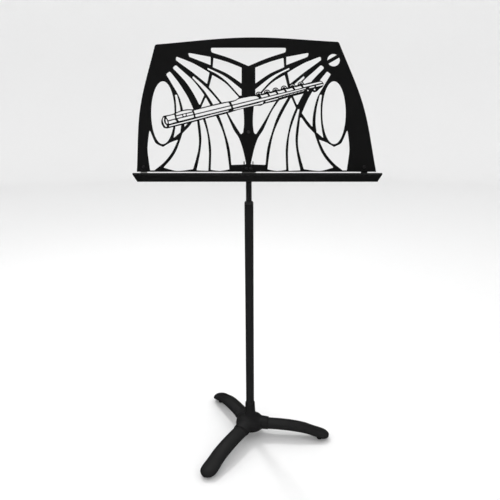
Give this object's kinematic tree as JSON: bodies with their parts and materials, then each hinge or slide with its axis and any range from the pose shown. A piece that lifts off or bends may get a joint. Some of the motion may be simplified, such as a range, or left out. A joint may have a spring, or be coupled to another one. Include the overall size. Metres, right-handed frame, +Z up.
{
  "type": "music stand",
  "caption": "Height-adjustable sheet music stand: three-leg base, telescoping pole, swivelling and tilting desk with sunburst and flute-shaped cut-outs and a ledge.",
  "frame": {"origin": "on the floor at the middle of the stand's width and depth; the pole's axis is parallel to Z through X = -0.019 m", "axes": "+Z up, the player stands on the -Y side facing +Y, +X to the player's right"},
  "size_m": [0.509, 0.3586, 0.9382],
  "materials": {
    "black_powder_coat": "satin fine-grain powder coat",
    "blackened_steel": "satin black oxide",
    "black_nylon": "matt moulded nylon",
    "black_rubber": "matt rubber",
    "plated_steel": "zinc-plated fastener"
  },
  "bodies": {
    "base": {"base_hub": "black_powder_coat", "leg_right": "black_powder_coat", "leg_rear_left": "black_powder_coat", "leg_front_left": "black_powder_coat", "leg_screw_right": "plated_steel", "leg_screw_rear_left": "plated_steel", "leg_screw_front_left": "plated_steel", "foot_glide_right": "black_rubber", "foot_glide_rear_left": "black_rubber", "foot_glide_front_left": "black_rubber", "base_bolt": "plated_steel", "base_washer": "plated_steel", "tube_plug": "blackened_steel", "outer_tube": "black_powder_coat", "clutch_cap": "black_nylon", "clutch_ring": "black_rubber", "clutch_sleeve": "black_nylon"},
    "carriage": {"tail_bush": "black_nylon"},
    "shaft": {"inner_shaft": "blackened_steel", "tail_clip": "plated_steel", "tilt_knuckle": "blackened_steel", "head_pin": "plated_steel"},
    "desk": {"tilt_bracket": "plated_steel", "tilt_bolt": "plated_steel", "tilt_nut": "plated_steel", "friction_washer_left": "black_nylon", "friction_washer_right": "black_nylon", "spring_washer": "plated_steel", "desk_panel": "black_powder_coat", "ledge_tray": "black_powder_coat", "strap_left": "plated_steel", "strap_right": "plated_steel", "tray_rivet_left": "blackened_steel", "tray_rivet_right": "blackened_steel", "panel_rivet_left": "blackened_steel", "panel_rivet_right": "blackened_steel", "panel_rivet_top": "blackened_steel", "strap_left_rivet_low": "blackened_steel", "strap_right_rivet_low": "blackened_steel", "strap_left_rivet_high": "blackened_steel", "strap_right_rivet_high": "blackened_steel"}
  },
  "joints": [
    {"name": "height_slide", "type": "slide", "parent": "base", "child": "carriage", "axis": [0, 0, 1], "range_m": [-0.04, 0.355]},
    {"name": "desk_swivel", "type": "hinge", "parent": "carriage", "child": "shaft", "pos_m": [-0.019, 0, 0.15], "axis": [0, 0, 1], "continuous": true},
    {"name": "desk_tilt", "type": "hinge", "parent": "shaft", "child": "desk", "pos_m": [-0.019, 0, 0.67], "axis": [1, 0, 0], "range_deg": [-70, 18]}
  ]
}
